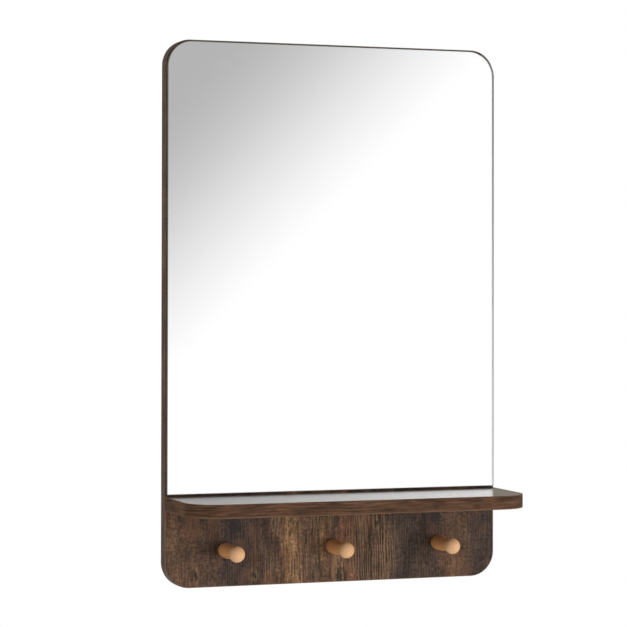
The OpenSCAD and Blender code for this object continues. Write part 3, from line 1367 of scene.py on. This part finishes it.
@dataclass
class Pegs:
    """The three turned pegs.

    Attributes:
        base_diameter: A peg's diameter at the panel.
        base_length: The length of its straight base.
        waist_diameter: Its diameter at its narrowest.
        head_diameter: The diameter of its round head.
        base_ease: The radius of its base's edge.
        around: The number of steps round it.
        ease_steps: The number of steps along its base's edge.
        stem_steps: The number of steps along its stem.
        head_steps: The number of steps over its head.
        tip_angle: The angle from its axis at which the head's last ring lies.
        nodes: The nodes that the pegs stand for.
    """

    base_diameter: float = 16.5 * MM
    base_length: float = 7 * MM
    waist_diameter: float = 13.5 * MM
    head_diameter: float = 17.5 * MM
    base_ease: float = 0.5 * MM
    around: int = 96
    ease_steps: int = 4
    stem_steps: int = 32
    head_steps: int = 47
    tip_angle: float = 0.02
    nodes: tuple[str, ...] = ("peg_left", "peg_middle", "peg_right")

    def build(self) -> None:
        """Builds the pegs."""
        pegs = [self._peg(node) for node in self.nodes]
        for peg, node in zip(pegs, self.nodes):
            finish_piece(peg, TurnedBeech(), node)
        keep_out_of_mirror([*pegs, *nodes_named("peg_")])

    def _profile(self, length: float) -> Array:
        """Works out a peg's outline as (radius, distance from the panel) points.

        The base is straight with an eased edge. The stem narrows along half a cosine wave to
        the waist, where it meets the round head.

        Args:
            length: The peg's length.

        Returns:
            The points, from the panel to the last one before the tip.
        """
        base, waist, head = (
            d / 2 for d in (self.base_diameter, self.waist_diameter, self.head_diameter)
        )
        centre = length - head
        neck = centre - math.sqrt(head**2 - waist**2)
        turn = np.linspace(0, math.pi / 2, self.ease_steps + 1)
        ease = np.stack(
            [base - self.base_ease * (1 - np.sin(turn)), self.base_ease * (1 - np.cos(turn))], 1
        )
        t = np.linspace(0, 1, self.stem_steps + 1)
        stem = np.stack(
            [
                base - (base - waist) * (1 - np.cos(math.pi * t)) / 2,
                self.base_length + (neck - self.base_length) * t,
            ],
            axis=1,
        )
        start = math.asin(waist / head)
        polar = np.linspace(math.pi - start, self.tip_angle, self.head_steps + 1)
        ball = np.stack([head * np.sin(polar), centre + head * np.cos(polar)], axis=1)
        return np.concatenate([ease, stem, ball[1:]])

    def _peg(self, node: str) -> Piece:
        """Turns the profile round the peg's axis and closes its base and its tip.

        Args:
            node: The node that the peg stands for.

        Returns:
            The peg.
        """
        low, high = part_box(node)
        length = high.y - low.y
        profile = self._profile(length)
        turn = np.linspace(0, 2 * math.pi, self.around, endpoint=False)
        radius, out = profile[:, :1], profile[:, 1:]
        x = (low.x + high.x) / 2 + radius * np.cos(turn)
        z = (low.z + high.z) / 2 + radius * np.sin(turn)
        y = np.broadcast_to(high.y - out, x.shape)
        rings = np.stack([x, y, z], axis=-1).reshape(-1, 3)
        tip = np.array([[(low.x + high.x) / 2, low.y, (low.z + high.z) / 2]])
        points = np.concatenate([rings, tip])
        rows = len(profile)
        sides = grid_faces(rows, self.around, False, True)
        last = (rows - 1) * self.around + np.arange(self.around)
        fan = np.stack([last, np.full_like(last, len(rings)), np.roll(last, -1)], axis=1)
        base = [list(range(self.around))]
        faces = [*sides.tolist(), *fan.tolist(), *base]
        return make_piece(node + "_turned", points, faces, sharp=50.0)


@dataclass
class Fasteners:
    """The hanger plates and all screws.

    Attributes:
        plates: The nodes of the hanger plates.
        screws: The nodes of the screws.
    """

    plates: tuple[str, ...] = ("hanger_plate_left", "hanger_plate_right")
    screws: tuple[str, ...] = ("shelf_screws", "peg_screws", "hanger_screws")

    def build(self) -> None:
        """Dresses the plates and the screws."""
        bright, dull = linear(196, 198, 200), linear(168, 172, 176)
        sheet = PlainFinish("zinc_sheet", bright, dull, roughness=0.36, metallic=1.0, scale=160.0)
        dress(sheet, *self.plates)
        gold, olive = linear(214, 190, 118), linear(190, 176, 140)
        plated = PlainFinish("yellow_zinc", gold, olive, roughness=0.3, metallic=1.0, scale=400.0)
        dress(plated, *self.screws)


# ---------- studio ----------


@dataclass
class SoftLight:
    """A square soft light that looks at the mirror's middle.

    Attributes:
        name: The light's name.
        place: Where it stands.
        size: The length of its side.
        power: Its power in watts.
    """

    name: str
    place: tuple[float, float, float]
    size: float
    power: float

    def build(self) -> None:
        """Makes the light."""
        data = bpy.data.lights.new(self.name, "AREA")
        data.shape = "SQUARE"
        data.size = self.size
        data.energy = self.power
        light = bpy.data.objects.new(self.name, data)
        light.location = self.place
        light.rotation_mode = "QUATERNION"
        light.rotation_quaternion = (-Vector(self.place)).to_track_quat("-Z", "Y")
        light.visible_camera = False
        light.visible_glossy = False
        light.visible_transmission = False
        bpy.context.scene.collection.objects.link(light)


@dataclass
class Studio:
    """The camera, the lights, the surroundings and the floor.

    The camera's values were fitted to the photograph's straight edges.

    Attributes:
        camera_place: Where the camera stands.
        yaw: How far it looks to the right of the wall's normal, in degrees.
        pitch: How far it looks up, in degrees.
        roll: How far it leans, in degrees.
        focal_pixels: Its focal length in pixels of the photograph.
        frame_pixels: The photograph's width in pixels.
        crop_pixels: How far above the lens's axis the photograph's middle lies, in pixels.
        sensor: The sensor's width in millimetres.
        floor_drop: How far the floor lies below the object.
        floor_size: The length of the floor's side.
        slant: The direction in which the surroundings get brighter.
        screen_edge: How far along the slant the bright screen's soft edge starts and ends.
        screen_levels: How bright the surroundings are before that edge and past it.
        side_edge: How far along the slant the screen starts and stops getting darker again.
        side_loss: How much darker it gets there.
        rear_edge: How far towards the wall the darker part behind the panel starts and ends.
        rear_level: How bright that part is.
        rear_tint: Its colour.
        lights: The lights.
    """

    camera_place: tuple[float, float, float] = (-0.8775, -2.4365, 0.0271)
    yaw: float = 19.425
    pitch: float = 0.727
    roll: float = 0.088
    focal_pixels: float = 2303.5
    frame_pixels: int = 627
    crop_pixels: float = -53.9
    sensor: float = 36.0
    floor_drop: float = 1.0
    floor_size: float = 7.0
    slant: tuple[float, float, float] = (0.9325, 0.1995, -0.9398)
    screen_edge: tuple[float, float] = (-0.019, 0.121)
    screen_levels: tuple[float, float] = (0.469, 1.076)
    side_edge: tuple[float, float] = (0.5, 1.1)
    side_loss: float = 0.35
    rear_edge: tuple[float, float] = (-0.1, 0.35)
    rear_level: float = 0.26
    rear_tint: Colour = (1.07, 0.955, 0.79, 1.0)
    lights: tuple[SoftLight, ...] = (
        SoftLight("key_light", (1.35, -2.35, -0.35), 1.3, 33.0),
        SoftLight("fill_light", (-2.2, -1.4, 1.2), 1.6, 14.0),
        SoftLight("rear_light", (-1.2, 2.4, 1.4), 1.6, 40.0),
    )

    def build(self) -> None:
        """Builds all of it."""
        self._camera()
        for light in self.lights:
            light.build()
        self._surroundings()
        self._floor()
        bpy.context.scene.view_settings.view_transform = "Standard"

    def _camera(self) -> None:
        """Makes the camera: right, up and back are its axes after yaw, pitch and roll."""
        yaw, pitch, roll = (math.radians(a) for a in (self.yaw, self.pitch, self.roll))
        ahead = Vector(
            (math.sin(yaw) * math.cos(pitch), math.cos(yaw) * math.cos(pitch), math.sin(pitch))
        )
        level = Vector((math.cos(yaw), -math.sin(yaw), 0.0))
        above = level.cross(ahead)
        right = level * math.cos(roll) + above * math.sin(roll)
        up = above * math.cos(roll) - level * math.sin(roll)
        data = bpy.data.cameras.new("camera")
        data.sensor_width = self.sensor
        data.lens = self.focal_pixels / self.frame_pixels * self.sensor
        data.shift_y = self.crop_pixels / self.frame_pixels
        camera = bpy.data.objects.new("camera", data)
        turned = Matrix((right, up, -ahead)).transposed().to_4x4()
        camera.matrix_world = Matrix.Translation(self.camera_place) @ turned
        bpy.context.scene.collection.objects.link(camera)
        bpy.context.scene.camera = camera

    def _surroundings(self) -> None:
        """Lights from all round, with a wide bright screen that the mirror shows.

        The screen's edge slants through what the mirror shows from the camera, so the mirror
        runs from grey at its upper left to white. Behind the panel it is darker and warmer.
        """
        world = bpy.data.worlds.new("studio")
        world.use_nodes = True
        graph = Graph(world.node_tree)
        background = next(n for n in world.node_tree.nodes if n.type == "BACKGROUND")
        direction = graph.add("TexCoord").outputs["Generated"]
        dot = {0: direction, 1: self.slant}
        along = graph.add("VectorMath", dot, operation="DOT_PRODUCT").outputs["Value"]
        screen = graph.span(along, *self.screen_edge, *self.screen_levels)
        screen = graph.minus(screen, graph.span(along, *self.side_edge, 0.0, self.side_loss))
        towards_wall = graph.add("SeparateXYZ", {0: direction}).outputs[1]
        behind = graph.span(towards_wall, *self.rear_edge)
        level = graph.blend(behind, screen, self.rear_level)
        seen = graph.add("LightPath").outputs["Is Camera Ray"]
        warmth = graph.minus(behind, seen, clamp=True)
        colour = graph.mix(warmth, WHITE, self.rear_tint)
        graph.feed(background, {"Color": colour, "Strength": graph.blend(seen, level, 1.0)})
        bpy.context.scene.world = world

    def _floor(self) -> None:
        """Makes a plain pale floor below the object."""
        low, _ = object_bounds()
        half, height = self.floor_size / 2, low.z - self.floor_drop
        points = np.array([[x, y, height] for x, y in ((-1, -1), (1, -1), (1, 1), (-1, 1))])
        points[:, :2] *= half
        floor = make_piece("floor", points, [[0, 1, 2, 3]])
        pale, dusty = linear(238, 238, 236), linear(234, 234, 232)
        floor.data.materials.append(PlainFinish("floor_paint", pale, dusty, 0.8, scale=0.5).make())
        floor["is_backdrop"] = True


def main() -> None:
    """Builds the sub-assemblies and the studio in order."""
    logging.basicConfig(level=logging.INFO, format="%(name)s: %(message)s")
    for part in (Studio(), Panel(), Mirror(), Shelf(), Pegs(), Fasteners()):
        part.build()


if __name__ == "__main__":
    main()
